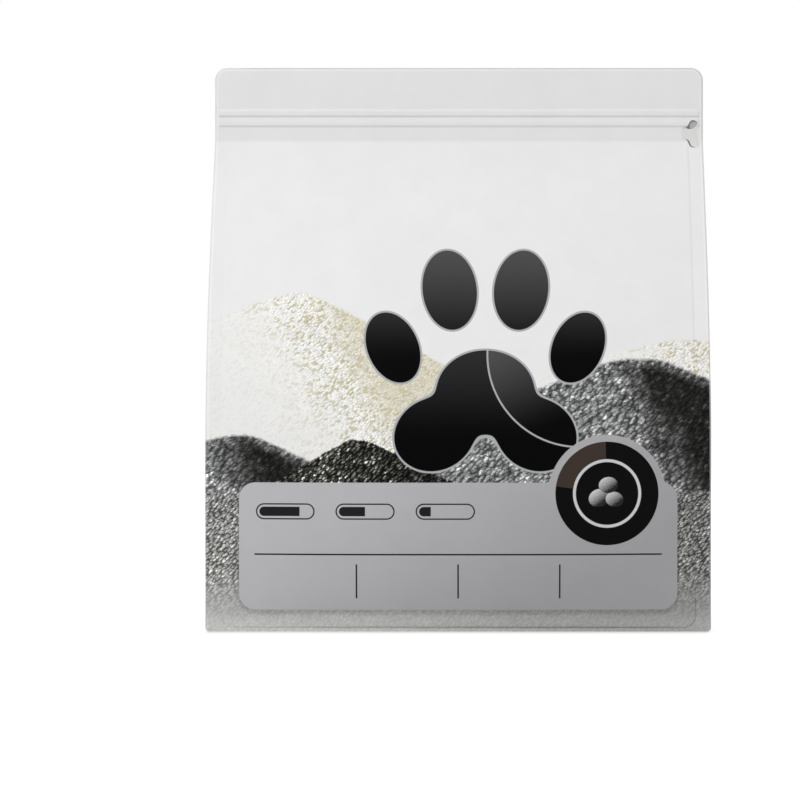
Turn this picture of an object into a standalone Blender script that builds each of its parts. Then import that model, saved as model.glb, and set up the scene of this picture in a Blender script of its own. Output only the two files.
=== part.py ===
"""Flat-bottomed zip pouch of cat litter, full, sealed and standing.

Metres, +Z up. The front panel faces -Y, with +X to its right. The origin is on the
floor, under the middle of the pouch.

The pouch is one closed solid: film and filling together. Its front and back panels
are flat sheets whose edges stand out as heat seals round a swollen belly, with a
folded gusset at each side and a sagging bottom panel inside a short skirt of seal.
The tear tab is a tongue die-cut from the front film, lying loose in its own hole.
"""

import math

import bmesh
import bpy

# Film panels
PANEL_WIDTH = 0.260
POUCH_HEIGHT = 0.296
GUSSET_DEPTH = 0.090
TOP_CORNER_RADIUS = 0.0065
BOTTOM_CORNER_RADIUS = 0.0020

# Heat seals that frame the front and back panels
SEAL_WIDTH = 0.0080
SEAL_THICKNESS = 0.0006
BOTTOM_SEAL_HEIGHT = 0.0020

# Header, where the panels are sealed flat together over the belly
HEADER_HEIGHT = 0.043
HEADER_THICKNESS = 0.0012
BELLY_TOP = 0.090

# How far the filling swells the film, and how square the swelling is
PANEL_SWELL = 0.0090
PANEL_SQUARENESS = 2.6
SWELL_LOWNESS = 0.6
GUSSET_SWELL = 0.0030
TUCK_BASE = 0.050

# Bottom panel, sagging to the floor inside the skirt
BASE_MARGIN = 0.0095
BASE_ROUNDNESS = 1.5

# Zipper and tear strip, showing through the front panel, from the header's foot up
STRIP_MARGIN = 0.0045
STRIP_HEIGHT = 0.0077
STRIP_LIFT = 0.0002
ZIP_PITCH = 0.0053
ZIP_GROOVE_WIDTH = 0.0014
ZIP_GROOVE_DEPTH = 0.0003
ZIP_RIDGE_HEIGHT = 0.0006
ZIP_FLANGE_HEIGHT = 0.0035
ZIP_FLANGE_LIFT = 0.0003
RELIEF_STEP = 0.0004
ZIP_END_MARGIN = 0.0020

# Tear tab at the right end of the strip
TAB_FROM_EDGE = 0.0041
TAB_RISE = 0.0035
TAB_LOBE_RADIUS = 0.0023
TAB_LOBE_SPACING = 0.0098
TAB_STEM_LENGTH = 0.0062
TAB_STEM_WIDTH = 0.0052
TAB_FILLET = 0.0011
TAB_THICKNESS = 0.00035
TAB_HOLE_DEPTH = 0.0006
TAB_GAP = 0.0003

# Fineness of the mesh
PANEL_STEPS = 18
BELLY_STEPS = 26
BELLY_CROWDING = 1.25
GUSSET_STEPS = 5
BASE_SAG_STEPS = 4
CORNER_STEPS = 5
LOBE_STEPS = 10
LEAST_STEP = 0.00005
FILLET_STEPS = 4
CUT_MARGIN = 0.010
SHARP_ANGLE = 25.0

FILM_COLOUR = (0.80, 0.80, 0.80, 1.0)
TAB_COLOUR = (0.64, 0.65, 0.65, 1.0)
FILM_ROUGHNESS = 0.42

HALF_WIDTH = PANEL_WIDTH / 2
SEAL_ROOT = HALF_WIDTH - SEAL_WIDTH
HEADER_BASE = POUCH_HEIGHT - HEADER_HEIGHT
HEADER_FACE = HEADER_THICKNESS / 2
STRIP_BASE = HEADER_BASE + STRIP_MARGIN
ZIP_LOWER_GROOVE = STRIP_BASE + STRIP_HEIGHT
ZIP_UPPER_GROOVE = ZIP_LOWER_GROOVE + ZIP_PITCH
ZIP_FLANGE_TOP = ZIP_UPPER_GROOVE + ZIP_FLANGE_HEIGHT
ZIP_END = HALF_WIDTH - ZIP_END_MARGIN
TAB_HEIGHT = STRIP_BASE + TAB_RISE


def clear_scene():
    """Empties the scene of its start-up objects."""
    for obj in list(bpy.data.objects):
        bpy.data.objects.remove(obj)


def film_material(name, colour):
    """A matt laminated film."""
    material = bpy.data.materials.new(name)
    material.use_nodes = True
    shader = material.node_tree.nodes["Principled BSDF"]
    shader.inputs["Base Color"].default_value = colour
    shader.inputs["Roughness"].default_value = FILM_ROUGHNESS
    shader.inputs["Metallic"].default_value = 0.0
    material.diffuse_color = colour
    return material


def loft(name, rings, closed=False):
    """A solid through rings of equally many points, capped or joined end to end."""
    mesh = bmesh.new()
    base = mesh.faces.new([mesh.verts.new(point) for point in rings[0]])
    top = base
    for ring in rings[1:]:
        grown = bmesh.ops.extrude_face_region(mesh, geom=[top])["geom"]
        if top is not base:
            bmesh.ops.delete(mesh, geom=[top], context="FACES_ONLY")
        top = next(item for item in grown if isinstance(item, bmesh.types.BMFace))
        for vert, point in zip(top.verts, ring):
            vert.co = point
    if closed:
        bmesh.ops.bridge_loops(mesh, edges=list(base.edges) + list(top.edges))
        bmesh.ops.delete(mesh, geom=[base, top], context="FACES_ONLY")
    bmesh.ops.recalc_face_normals(mesh, faces=mesh.faces)
    data = bpy.data.meshes.new(name)
    mesh.to_mesh(data)
    mesh.free()
    obj = bpy.data.objects.new(name, data)
    bpy.context.scene.collection.objects.link(obj)
    return obj


def cut(obj, cutter):
    """Takes the cutter's shape out of obj, and keeps the cutter as a guide."""
    cutter.hide_render = True
    cutter.display_type = "WIRE"
    modifier = obj.modifiers.new(cutter.name, "BOOLEAN")
    modifier.operation = "DIFFERENCE"
    modifier.solver = "EXACT"
    modifier.object = cutter


def fullness(z):
    """How far the pouch has filled out at height z: 0 at the header, 1 in the belly."""
    if z >= HEADER_BASE:
        return 0.0
    if z <= BELLY_TOP:
        return 1.0
    return math.sin(math.pi / 2 * (HEADER_BASE - z) / (HEADER_BASE - BELLY_TOP))


def seal_face(z):
    """Distance from the pouch's middle plane to the outer face of a side seal."""
    belly_face = GUSSET_DEPTH / 2 + SEAL_THICKNESS
    return HEADER_FACE + (belly_face - HEADER_FACE) * fullness(z)


def swell_share(z):
    """How much of the full swelling the film has at height z."""
    if not BOTTOM_SEAL_HEIGHT < z < STRIP_BASE:
        return 0.0
    rise = (z - BOTTOM_SEAL_HEIGHT) / (STRIP_BASE - BOTTOM_SEAL_HEIGHT)
    return math.sin(math.pi * rise**SWELL_LOWNESS)


def panel_half_width(z):
    """Half the panel's width at height z, less at its rounded corners."""
    half = HALF_WIDTH
    for radius, edge_distance in (
        (TOP_CORNER_RADIUS, POUCH_HEIGHT - z),
        (BOTTOM_CORNER_RADIUS, z),
    ):
        short = max(0.0, radius - edge_distance)
        half -= radius - math.sqrt(max(0.0, radius**2 - short**2))
    return half


def zip_relief():
    """Heights and lifts of the zipper's outline on the front of the header."""
    points = [(STRIP_BASE, 0.0), (STRIP_BASE + RELIEF_STEP, STRIP_LIFT)]
    half = ZIP_GROOVE_WIDTH / 2
    for groove, below, above in (
        (ZIP_LOWER_GROOVE, STRIP_LIFT, ZIP_RIDGE_HEIGHT),
        (ZIP_UPPER_GROOVE, ZIP_RIDGE_HEIGHT, ZIP_FLANGE_LIFT),
    ):
        points += [
            (groove - half, below),
            (groove, -ZIP_GROOVE_DEPTH),
            (groove + half, above),
        ]
    points += [(ZIP_FLANGE_TOP - RELIEF_STEP, ZIP_FLANGE_LIFT), (ZIP_FLANGE_TOP, 0.0)]
    return points


def relief_lift(z):
    """How far the zipper lifts the front film at height z."""
    points = zip_relief()
    for (low, lift), (high, next_lift) in zip(points, points[1:]):
        if low <= z <= high:
            return lift + (next_lift - lift) * (z - low) / (high - low)
    return 0.0


def corner_levels(edge, radius, inward):
    """Heights of the rings that round a panel corner, from its edge inwards."""
    turns = [math.pi / 2 * step / CORNER_STEPS for step in range(CORNER_STEPS + 1)]
    return [edge + inward * radius * (1 - math.cos(turn)) for turn in turns]


def ring_levels():
    """Heights of all the rings of the pouch, from the floor to the top edge."""
    levels = corner_levels(0.0, BOTTOM_CORNER_RADIUS, 1)
    levels += corner_levels(POUCH_HEIGHT, TOP_CORNER_RADIUS, -1)
    levels += [z for z, _ in zip_relief()]
    belly = HEADER_BASE - BOTTOM_SEAL_HEIGHT
    for step in range(BELLY_STEPS + 1):
        share = (step / BELLY_STEPS) ** BELLY_CROWDING
        levels.append(BOTTOM_SEAL_HEIGHT + belly * share)
    levels.sort()
    apart = [high - low > LEAST_STEP for low, high in zip(levels, levels[1:])]
    return [z for z, kept in zip(levels, apart + [True]) if kept]


def panel_shares():
    """Places across a panel, -1 and 1 at its edges, closer together near the seals."""
    root = SEAL_ROOT / HALF_WIDTH
    turns = [math.pi * (step / PANEL_STEPS - 0.5) for step in range(PANEL_STEPS + 1)]
    zip_end = ZIP_END / HALF_WIDTH
    return [-1.0, -zip_end] + [root * math.sin(turn) for turn in turns] + [zip_end, 1.0]


def pouch_ring(z):
    """The pouch's outline at height z, before its gussets are folded in."""
    half = panel_half_width(z)
    root = SEAL_ROOT / HALF_WIDTH
    front, back = [], []
    for share in panel_shares():
        inside = max(0.0, 1 - abs(share / root) ** PANEL_SQUARENESS)
        face = seal_face(z) + PANEL_SWELL * swell_share(z) * inside
        lift = relief_lift(z) if abs(share) < 1 else 0.0
        front.append((share * half, -face - lift, z))
        back.append((share * half, face, z))
    return front + back[::-1]


def tuck(z):
    """How far in the gusset's crease lies at height z, from the roots of the seals."""
    inner = seal_face(z) - SEAL_THICKNESS
    folded = math.sqrt(max(0.0, (GUSSET_DEPTH / 2) ** 2 - inner**2))
    rise = (z - TUCK_BASE) / (HEADER_BASE - TUCK_BASE)
    return folded * min(1.0, max(0.0, rise))


def gusset_ring(z, side):
    """Outline at height z of the space outside one gusset, between the side seals."""
    inner = seal_face(z) - SEAL_THICKNESS
    outside = HALF_WIDTH + CUT_MARGIN
    half = []
    for step in range(GUSSET_STEPS + 1):
        share = step / GUSSET_STEPS
        swell = GUSSET_SWELL * swell_share(z) * math.sin(math.pi * share)
        half.append((SEAL_ROOT - tuck(z) * share + swell, inner * (1 - share)))
    outline = [(outside, -inner)] + [(x, -y) for x, y in half]
    outline += [(x, y) for x, y in reversed(half[:-1])] + [(outside, inner)]
    return [(side * x, y, z) for x, y in outline]


def gusset_cutter(side):
    """The space outside one gusset, from below the floor to just under the header."""
    slit = HEADER_BASE - (HEADER_BASE - BELLY_TOP) / BELLY_STEPS / 2
    levels = [-CUT_MARGIN, BOTTOM_SEAL_HEIGHT]
    for step in range(1, BELLY_STEPS + 1):
        levels.append(
            BOTTOM_SEAL_HEIGHT + (slit - BOTTOM_SEAL_HEIGHT) * step / BELLY_STEPS
        )
    name = "gusset_cutter_right" if side > 0 else "gusset_cutter_left"
    return loft(name, [gusset_ring(z, side) for z in levels])


def base_loop(inset, z):
    """A rectangle inside the skirt, at height z."""
    x = SEAL_ROOT - SEAL_THICKNESS - inset
    y = GUSSET_DEPTH / 2 - inset
    return [(-x, -y, z), (x, -y, z), (x, y, z), (-x, y, z)]


def base_cutter():
    """The hollow between the skirt and the sagging bottom panel."""
    loops = [base_loop(0.0, -CUT_MARGIN), base_loop(0.0, BOTTOM_SEAL_HEIGHT)]
    for step in range(1, BASE_SAG_STEPS + 1):
        share = step / BASE_SAG_STEPS
        height = BOTTOM_SEAL_HEIGHT * (1 - share) ** BASE_ROUNDNESS
        loops.append(base_loop(BASE_MARGIN * share, height))
    loops.append(base_loop(BASE_MARGIN, -CUT_MARGIN))
    return loft("base_cutter", loops, closed=True)


def arc(centre, radius, start, end, steps):
    """Points round an arc, angles in degrees."""
    turns = [math.radians(start + (end - start) * i / steps) for i in range(steps + 1)]
    return [
        (centre[0] + radius * math.cos(t), centre[1] + radius * math.sin(t))
        for t in turns
    ]


def tab_outline(grow):
    """The tab's outline across and up: a stem to the left, and a lobe up and down."""
    radius = TAB_LOBE_RADIUS + grow
    stem = TAB_STEM_WIDTH / 2 + grow
    fillet = TAB_FILLET - grow
    lobe = TAB_LOBE_SPACING / 2
    bend = (-radius - fillet, stem + fillet)
    points = [(-TAB_STEM_LENGTH - grow, -stem)]
    points += arc((bend[0], -bend[1]), fillet, 90, 0, FILLET_STEPS)
    points += arc((0.0, -lobe), radius, 180, 360, LOBE_STEPS)
    points += arc((0.0, lobe), radius, 0, 180, LOBE_STEPS)
    points += arc(bend, fillet, 0, -90, FILLET_STEPS)
    points.append((-TAB_STEM_LENGTH - grow, stem))
    return points


def tab_slab(name, grow, front, back):
    """The tab's outline, grown, as a slab between two distances in front of middle."""
    centre = HALF_WIDTH - TAB_FROM_EDGE
    outline = tab_outline(grow)
    rings = [
        [(centre + x, -face, TAB_HEIGHT + z) for x, z in outline]
        for face in (front, back)
    ]
    return loft(name, rings)


def smooth(obj):
    """Shades the film smooth, up to its real edges."""
    obj.data.shade_smooth()
    obj.data.set_sharp_from_angle(angle=math.radians(SHARP_ANGLE))


def litter_pouch():
    """The sealed pouch with its filling."""
    pouch = loft("litter_pouch", [pouch_ring(z) for z in ring_levels()])
    smooth(pouch)
    pouch.data.materials.append(film_material("pouch_film", FILM_COLOUR))
    cut(pouch, gusset_cutter(-1))
    cut(pouch, gusset_cutter(1))
    cut(pouch, base_cutter())
    hole_floor = HEADER_FACE - TAB_HOLE_DEPTH
    cut(pouch, tab_slab("tab_hole_cutter", TAB_GAP, HEADER_FACE + CUT_MARGIN, hole_floor))
    return pouch


def tear_tab():
    """The tongue that starts the tear strip, lying in its hole in the front film."""
    back = HEADER_FACE - TAB_HOLE_DEPTH + TAB_GAP
    tab = tab_slab("tear_tab", 0.0, back + TAB_THICKNESS, back)
    tab.data.materials.append(film_material("tab_film", TAB_COLOUR))
    return tab


clear_scene()
litter_pouch()
tear_tab()
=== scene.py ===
"""The looks of a full, flat-bottomed zip pouch of litter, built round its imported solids.

Every film of the pouch is a thin closed sheet of its own: the front panel with its
zipper pressed through it, the back panel, two folded gussets and the sagging bottom
panel, sealed to each other along their rims. A pull tab lies in its die-cut hole.
Metres, +Z up, the front facing -Y.
"""

import logging
import math
from dataclasses import dataclass, field
from enum import Enum
from typing import Callable, Sequence, Union

import bmesh
import bpy
from mathutils import Matrix, Vector, noise


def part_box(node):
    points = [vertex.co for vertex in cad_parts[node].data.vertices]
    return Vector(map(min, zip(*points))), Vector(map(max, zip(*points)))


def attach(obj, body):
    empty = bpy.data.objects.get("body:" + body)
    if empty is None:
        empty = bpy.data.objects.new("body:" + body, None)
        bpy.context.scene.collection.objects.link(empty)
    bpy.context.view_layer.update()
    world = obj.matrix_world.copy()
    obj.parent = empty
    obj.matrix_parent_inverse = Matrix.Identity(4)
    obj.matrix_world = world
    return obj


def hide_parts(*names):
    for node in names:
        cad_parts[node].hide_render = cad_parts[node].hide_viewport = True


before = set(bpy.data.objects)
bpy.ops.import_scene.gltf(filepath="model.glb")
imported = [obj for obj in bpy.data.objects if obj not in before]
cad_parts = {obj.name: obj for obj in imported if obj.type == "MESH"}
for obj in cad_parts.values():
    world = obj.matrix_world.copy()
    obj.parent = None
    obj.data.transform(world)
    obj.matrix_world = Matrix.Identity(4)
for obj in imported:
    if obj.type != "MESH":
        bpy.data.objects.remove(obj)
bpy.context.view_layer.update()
POUCH_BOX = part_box("litter_pouch")
TAB_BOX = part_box("tear_tab")

LOG = logging.getLogger("litter_pouch")

Place = Callable[[float, float], Vector]
Piece = bpy.types.Object
Socket = bpy.types.NodeSocket
Colour = tuple[float, float, float, float]
Value = Union[Socket, float, Sequence[float]]

SHARP_ANGLE = 35.0
PRINT_EDGE = 0.00012
LINE_EDGE = 0.0001
RAGGED_SCALE = 420.0
RAGGED_HEIGHT = 0.0034


class Side(Enum):
    """Which side of the pouch a gusset closes."""

    LEFT = -1
    RIGHT = 1


def srgb(red: float, green: float, blue: float) -> Colour:
    """A colour as the shaders take it.

    Args:
        red, green, blue: The colour's parts as a screen shows them, 0 to 255.

    Returns:
        The linear colour, with full alpha.
    """
    parts = []
    for byte in (red, green, blue):
        share = byte / 255
        parts.append(share / 12.92 if share <= 0.04045 else ((share + 0.055) / 1.055) ** 2.4)
    return (*parts, 1.0)


def smooth_step(value: float, low: float, high: float) -> float:
    """How far value has come from low to high, eased at both ends."""
    share = min(1.0, max(0.0, (value - low) / (high - low)))
    return share * share * (3 - 2 * share)


def bell(distance: float, width: float) -> float:
    """A bump of height 1 at distance 0 that is gone past two widths."""
    return math.exp(-((distance / width) ** 2))


def spaced(*stops: tuple[float, float]) -> list[float]:
    """Grid lines through a row of stops.

    Args:
        stops: Pairs of a place and the spacing from it to the next stop.

    Returns:
        The places of all the lines, in order.
    """
    lines: list[float] = []
    for (start, step), (end, _) in zip(stops, stops[1:]):
        count = max(1, round((end - start) / step))
        lines += [start + (end - start) * i / count for i in range(count)]
    return lines + [stops[-1][0]]


def mirrored(right: list[float]) -> list[float]:
    """Grid lines on both sides of 0, from those on its right."""
    return [-line for line in reversed(right[1:])] + right


@dataclass(frozen=True)
class Wrinkle:
    """Soft random waves of a film, less with the distance from what causes them."""

    height: float
    across: float
    up: float
    seed: float = 0.0
    fade: float = math.inf

    def lift(self, x: float, z: float, seed: float, distance: float = 0.0) -> float:
        """How far the film stands out at a place."""
        wave = noise.noise(Vector((x / self.across, z / self.up, seed + self.seed)))
        return self.height * wave * math.exp(-distance / self.fade)


@dataclass(frozen=True)
class PouchForm:
    """The form that all films follow: the same sizes as the solids have."""

    half_width: float = POUCH_BOX[1].x
    height: float = POUCH_BOX[1].z
    gusset_depth: float = 0.090
    seal_width: float = 0.0080
    seal_thickness: float = 0.0006
    bottom_seal: float = 0.0020
    seal_corner: float = 0.0064
    top_corner: float = 0.0065
    bottom_corner: float = 0.0020
    header_height: float = 0.043
    header_thickness: float = 0.0012
    belly_top: float = 0.090
    strip_margin: float = 0.0045
    panel_swell: float = 0.0090
    panel_squareness: float = 2.6
    swell_lowness: float = 0.6
    gusset_swell: float = 0.0030
    tuck_base: float = 0.050
    bend: float = 0.0016

    @property
    def seal_root(self) -> float:
        """Half the distance between the inner edges of the side seals."""
        return self.half_width - self.seal_width

    @property
    def header_base(self) -> float:
        """Height of the header's foot at the side seals."""
        return self.height - self.header_height

    @property
    def strip_base(self) -> float:
        """Height of the tear strip's lower edge, where the belly begins."""
        return self.header_base + self.strip_margin

    def fullness(self, z: float) -> float:
        """How far the pouch has filled out at height z, from 0 to 1."""
        if z >= self.strip_base:
            return 0.0
        if z <= self.belly_top:
            return 1.0
        run = self.strip_base - z
        eased = run * run / (run + self.bend) * (1 + self.bend / (self.strip_base - self.belly_top))
        return math.sin(math.pi / 2 * eased / (self.strip_base - self.belly_top))

    def seal_face(self, z: float) -> float:
        """Distance from the middle plane to the outer face of a side seal."""
        belly = self.gusset_depth / 2 + self.seal_thickness
        header = self.header_thickness / 2
        return header + (belly - header) * self.fullness(z)

    def swell_share(self, z: float) -> float:
        """How much of its full swelling a panel has at height z."""
        if not self.bottom_seal < z < self.strip_base:
            return 0.0
        rise = (z - self.bottom_seal) / (self.strip_base - self.bottom_seal)
        return math.sin(math.pi * rise**self.swell_lowness)

    def tuck(self, z: float) -> float:
        """How far in a gusset's crease lies at height z."""
        inner = self.seal_face(z) - self.seal_thickness
        folded = math.sqrt(max(0.0, (self.gusset_depth / 2) ** 2 - inner**2))
        rise = (z - self.tuck_base) / (self.header_base - self.tuck_base)
        return folded * min(1.0, max(0.0, rise))

    def panel_half_width(self, z: float) -> float:
        """Half a panel's width at height z, less at its rounded corners."""
        half = self.half_width
        for radius, distance in ((self.top_corner, self.height - z), (self.bottom_corner, z)):
            short = max(0.0, radius - distance)
            half -= radius - math.sqrt(max(0.0, radius**2 - short**2))
        return half

    def inner_half_width(self, z: float) -> float:
        """Half the width inside the seals at height z, less at their lower corners."""
        short = max(0.0, self.seal_corner - max(0.0, z - self.bottom_seal))
        cut = self.seal_corner - math.sqrt(max(0.0, self.seal_corner**2 - short**2))
        return self.seal_root - cut

    def edge_distance(self, x: float, z: float) -> float:
        """How far a point of a panel lies inside the panel's outline."""
        half = self.height / 2
        radius = self.top_corner if z > half else self.bottom_corner
        across = abs(x) - self.half_width + radius
        up = abs(z - half) - half + radius
        corner = math.hypot(max(0.0, across), max(0.0, up))
        return radius - corner - min(0.0, max(across, up))

    def seal_line_distance(self, x: float, z: float) -> float:
        """Distance from the seals' inner edge, negative inside the belly."""
        across = abs(x) - self.seal_root + self.seal_corner
        down = self.bottom_seal + self.seal_corner - z
        corner = math.hypot(max(0.0, across), max(0.0, down))
        return corner + min(0.0, max(across, down)) - self.seal_corner


def shade(piece: Piece) -> None:
    """Shades a piece smooth up to its real edges."""
    piece.data.shade_smooth()
    piece.data.set_sharp_from_angle(angle=math.radians(SHARP_ANGLE))


def opened(piece: Piece) -> bmesh.types.BMesh:
    """A piece's mesh as a bmesh to work on."""
    mesh = bmesh.new()
    mesh.from_mesh(piece.data)
    return mesh


def closed(mesh: bmesh.types.BMesh, piece: Piece) -> None:
    """Writes a bmesh to a piece and frees it."""
    mesh.to_mesh(piece.data)
    mesh.free()


def link(name: str, mesh: bmesh.types.BMesh) -> Piece:
    """Makes an object of a finished bmesh, which it frees.

    Args:
        name: The piece's name.
        mesh: The bmesh.

    Returns:
        The object, at the origin.
    """
    piece = bpy.data.objects.new(name, bpy.data.meshes.new(name))
    closed(mesh, piece)
    shade(piece)
    bpy.context.scene.collection.objects.link(piece)
    return piece


def film_sheet(
    name: str, columns: Sequence[float], rows: Sequence[float], outer: Place, inner: Place
) -> Piece:
    """A sheet of film as a thin closed solid.

    Args:
        name: The piece's name.
        columns: Places of the grid's lines across the sheet.
        rows: Places of the grid's lines up the sheet.
        outer: Gives the outer face's point for a place across and up.
        inner: Gives the inner face's point for the same place.

    Returns:
        The sheet's object.
    """
    mesh = bmesh.new()
    across, up = len(columns) - 1, len(rows) - 1
    bmesh.ops.create_grid(mesh, x_segments=across, y_segments=up, size=0.5)
    grown = bmesh.ops.extrude_face_region(mesh, geom=mesh.faces[:])["geom"]
    raised = {item for item in grown if isinstance(item, bmesh.types.BMVert)}
    for vert in mesh.verts:
        column = columns[round((vert.co.x + 0.5) * across)]
        row = rows[round((vert.co.y + 0.5) * up)]
        vert.co = (inner if vert in raised else outer)(column, row)
    bmesh.ops.recalc_face_normals(mesh, faces=mesh.faces)
    return link(name, mesh)


def combine(target: Piece, cutter: Piece, operation: str) -> None:
    """Applies a Boolean of closed meshes to target and removes the cutter.

    Args:
        target: The piece that changes.
        cutter: The shape it is combined with.
        operation: UNION, DIFFERENCE or INTERSECT.
    """
    modifier = target.modifiers.new(cutter.name, "BOOLEAN")
    modifier.operation = operation
    modifier.solver = "MANIFOLD"
    modifier.object = cutter
    for piece in (target, cutter):
        piece.data.update()
        piece.update_tag(refresh={"OBJECT", "DATA"})
    bpy.context.view_layer.update()
    graph = bpy.context.evaluated_depsgraph_get()
    target.data = bpy.data.meshes.new_from_object(target.evaluated_get(graph))
    target.modifiers.clear()
    bpy.data.objects.remove(cutter)
    bpy.context.view_layer.update()
    shade(target)


class Graph:
    """Short calls for the nodes of one material or world."""

    def __init__(self, tree: bpy.types.NodeTree) -> None:
        """Starts from an empty tree."""
        self.tree = tree
        tree.nodes.clear()

    def node(self, kind: str, **settings: object) -> bpy.types.Node:
        """Adds a node of a kind, with its settings."""
        made = self.tree.nodes.new(kind)
        for name, value in settings.items():
            setattr(made, name, value)
        return made

    def feed_all(self, made: bpy.types.Node, values: dict[object, Value]) -> None:
        """Feeds several inputs of a node, each by its name or number."""
        for key, value in values.items():
            self.feed(made.inputs[key], value)

    def feed(self, socket: Socket, value: Value) -> None:
        """Links a socket to another, or sets its own value."""
        if isinstance(value, Socket):
            self.tree.links.new(value, socket)
        elif socket.type == "VECTOR":
            socket.default_value = value[:3]
        else:
            socket.default_value = value

    def math(self, operation: str, *values: Value) -> Socket:
        """The result of a sum on numbers."""
        made = self.node("ShaderNodeMath", operation=operation)
        self.feed_all(made, dict(enumerate(values)))
        return made.outputs[0]

    def add(self, *values: Value) -> Socket:
        """The sum of two or more numbers."""
        total = values[0]
        for value in values[1:]:
            total = self.math("ADD", total, value)
        return total

    def sub(self, first: Value, second: Value) -> Socket:
        """One number less another."""
        return self.math("SUBTRACT", first, second)

    def mul(self, *values: Value) -> Socket:
        """The product of two or more numbers."""
        total = values[0]
        for value in values[1:]:
            total = self.math("MULTIPLY", total, value)
        return total

    def length(self, across: Value, up: Value) -> Socket:
        """The length of a flat vector."""
        return self.math("SQRT", self.add(self.mul(across, across), self.mul(up, up)))

    def rise(
        self, value: Value, low: float, high: float, bottom: float = 0.0, top: float = 1.0
    ) -> Socket:
        """A number that eases from one value to another.

        Args:
            value: What it depends on.
            low, high: The values between which it changes.
            bottom, top: What it is below low and above high.

        Returns:
            The number's socket.
        """
        made = self.node("ShaderNodeMapRange", interpolation_type="SMOOTHSTEP")
        given = {"Value": value, "From Min": low, "From Max": high}
        self.feed_all(made, {**given, "To Min": bottom, "To Max": top})
        return made.outputs["Result"]

    def inside(self, distance: Value, soft: float = LINE_EDGE) -> Socket:
        """1 inside an outline and 0 outside, with a soft edge."""
        return self.rise(distance, -soft, soft, 1.0, 0.0)

    def stripe(self, distance: Value, core: float, edge: float) -> Socket:
        """1 up to core away from a line on both sides, and 0 past edge."""
        return self.rise(self.math("ABSOLUTE", distance), core, edge, 1.0, 0.0)

    def bell(self, distance: Value, width: float) -> Socket:
        """A bump of height 1 at distance 0."""
        share = self.mul(distance, 1 / width)
        return self.math("EXPONENT", self.mul(share, share, -1.0))

    def swing(self, vector: Value, scale: float, detail: float, roughness: float = 0.5) -> Socket:
        """Soft noise with its middle at 0, from -0.5 to 0.5."""
        return self.sub(self.noise(vector, scale, detail, roughness), 0.5)

    def vector(self, x: Value, y: Value, z: Value = 0.0) -> Socket:
        """A vector of three numbers."""
        made = self.node("ShaderNodeCombineXYZ")
        self.feed_all(made, {0: x, 1: y, 2: z})
        return made.outputs[0]

    def noise(
        self, vector: Value, scale: float, detail: float = 2.0, roughness: float = 0.5
    ) -> Socket:
        """A soft random number from 0 to 1."""
        made = self.node("ShaderNodeTexNoise")
        looks = {"Scale": scale, "Detail": detail, "Roughness": roughness}
        self.feed_all(made, {"Vector": vector, **looks})
        return made.outputs["Fac"]

    def cells(self, vector: Value, scale: float) -> tuple[Socket, Socket]:
        """Distance to the nearest of many random points, and that point's colour."""
        made = self.node("ShaderNodeTexVoronoi", voronoi_dimensions="2D")
        self.feed_all(made, {"Vector": vector, "Scale": scale})
        return made.outputs["Distance"], made.outputs["Color"]

    def mix(self, share: Value, first: Value, second: Value) -> Socket:
        """A colour between two colours."""
        made = self.node("ShaderNodeMix", data_type="RGBA")
        self.feed_all(made, {"Factor": share, 6: first, 7: second})
        return made.outputs[2]

    def blend(self, share: Value, first: Value, second: Value) -> Socket:
        """A number between two numbers."""
        made = self.node("ShaderNodeMix", data_type="FLOAT")
        self.feed_all(made, {"Factor": share, 2: first, 3: second})
        return made.outputs[0]

    def bright(self, colour: Value, gain: Value) -> Socket:
        """A colour times a number."""
        made = self.node("ShaderNodeVectorMath", operation="SCALE")
        self.feed_all(made, {0: colour, "Scale": gain})
        return made.outputs[0]

    def shadowed(self, colour: Value, depth: Value) -> Socket:
        """A colour that loses a share of its light."""
        return self.bright(colour, self.sub(1.0, depth))

    def place(self) -> tuple[Socket, Sequence[Socket]]:
        """Each place in Object coordinates, and its three numbers."""
        place = self.node("ShaderNodeTexCoord").outputs["Object"]
        parts = self.node("ShaderNodeSeparateXYZ")
        self.feed(parts.inputs[0], place)
        return place, parts.outputs

    def seen(self) -> Socket:
        """1 to the camera, in mirrors and through glass, and 0 to the light on the pouch."""
        paths = self.node("ShaderNodeLightPath").outputs
        seen = self.math("MAXIMUM", paths["Is Camera Ray"], paths["Is Glossy Ray"])
        return self.math("MAXIMUM", seen, paths["Is Transmission Ray"])

    def finish(self, kind: str, shader: Socket) -> None:
        """Links a shader to an output of a kind."""
        self.feed(self.node(kind).inputs["Surface"], shader)


@dataclass(frozen=True)
class Ramp:
    """A number that eases from bottom to top while another goes from low to high."""

    low: float
    high: float
    bottom: float = 0.0
    top: float = 1.0

    def at(self, g: Graph, value: Value) -> Socket:
        """The number for a value."""
        return g.rise(value, self.low, self.high, self.bottom, self.top)


def ragged_edge(g: Graph, along: Value, z: Value) -> Socket:
    """How far the edge of printed granules strays from its outline at each place."""
    return g.mul(g.swing(g.vector(along, z), RAGGED_SCALE, 3.0, 0.7), RAGGED_HEIGHT)


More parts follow.
